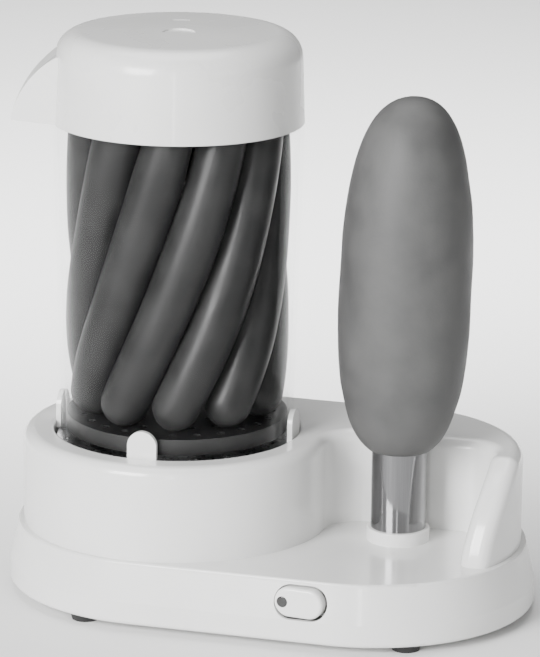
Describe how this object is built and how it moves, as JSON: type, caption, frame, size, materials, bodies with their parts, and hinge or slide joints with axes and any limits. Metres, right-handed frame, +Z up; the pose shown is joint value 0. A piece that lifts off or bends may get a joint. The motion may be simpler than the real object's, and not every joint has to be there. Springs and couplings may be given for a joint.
{
  "type": "hot dog maker",
  "caption": "Counter-top hot dog maker: a steam drum with a clear lidded sausage container beside a heated upright spike that warms a bread roll, on a low housing with a rocker switch.",
  "frame": {"origin": "on the surface it stands on, at the centre of the whole object's footprint box", "axes": "+Z up, front with the switch towards -Y, steam drum towards -X, spike towards +X"},
  "size_m": [0.28, 0.17, 0.2968],
  "materials": {
    "white_plastic": "glossy white moulded plastic",
    "lid_plastic": "satin white moulded plastic",
    "switch_plastic": "glossy white moulded plastic",
    "clear_plastic": "clear, smooth, slightly grey",
    "dark_plate": "dark non-stick coating",
    "dish_metal": "spun, satin",
    "bright_steel": "polished tube",
    "zinc_steel": "zinc plated",
    "element_steel": "oxidised sheath",
    "collar_plastic": "satin white heat-proof plastic",
    "black_plastic": "fine moulded",
    "black_rubber": "matt",
    "silicone": "translucent grey silicone",
    "ceramic": "unglazed ceramic",
    "mica": "pressed mica",
    "brass": "plain",
    "white_block": "natural polyamide",
    "lead_insulation": "silicone insulation",
    "sausage_skin": "smooth moist skin, grey because its colour is unknown",
    "bread_crust": "baked crust, grey because its colour is unknown",
    "lamp_plastic": "dark tinted lens"
  },
  "bodies": {
    "base": {"upper_housing": "white_plastic", "lower_housing": "white_plastic", "housing_screws": "zinc_steel", "bracket_screws": "zinc_steel", "clamp_screws": "zinc_steel", "foot_screws": "zinc_steel", "rubber_feet": "black_rubber", "dish_seal": "silicone", "heating_dish": "dish_metal", "dish_element": "element_steel", "dish_bracket": "zinc_steel", "dish_nut": "zinc_steel", "thermostat": "black_plastic", "thermal_fuse": "zinc_steel", "spike_tube": "bright_steel", "spike_collar": "collar_plastic", "spike_clamp": "zinc_steel", "spike_heater": "ceramic", "heater_spacers": "mica", "switch_case": "black_plastic", "switch_pin": "zinc_steel", "switch_blades": "brass", "cord_inlet": "black_rubber", "terminal_block": "white_block", "terminal_screws": "brass", "switch_lead": "lead_insulation", "dish_lead": "lead_insulation", "spike_lead": "lead_insulation"},
    "container": {"container": "clear_plastic", "steam_plate": "dark_plate", "sausages": "sausage_skin"},
    "lid": {"lid": "lid_plastic"},
    "roll": {"bread_roll": "bread_crust"},
    "rocker": {"switch_rocker": "switch_plastic", "lamp_lens": "lamp_plastic"}
  },
  "joints": [
    {"name": "container_lift", "type": "slide", "parent": "base", "child": "container", "axis": [0, 0, 1], "range_m": [0, 0.06]},
    {"name": "lid_lift", "type": "slide", "parent": "container", "child": "lid", "axis": [0, 0, 1], "range_m": [0, 0.06]},
    {"name": "roll_lift", "type": "slide", "parent": "base", "child": "roll", "axis": [0, 0, 1], "range_m": [0, 0.16]},
    {"name": "rocker_tilt", "type": "hinge", "parent": "base", "child": "rocker", "pos_m": [0.0418, -0.0727, 0.025], "axis": [0, 0, 1], "range_deg": [0, 10]}
  ]
}
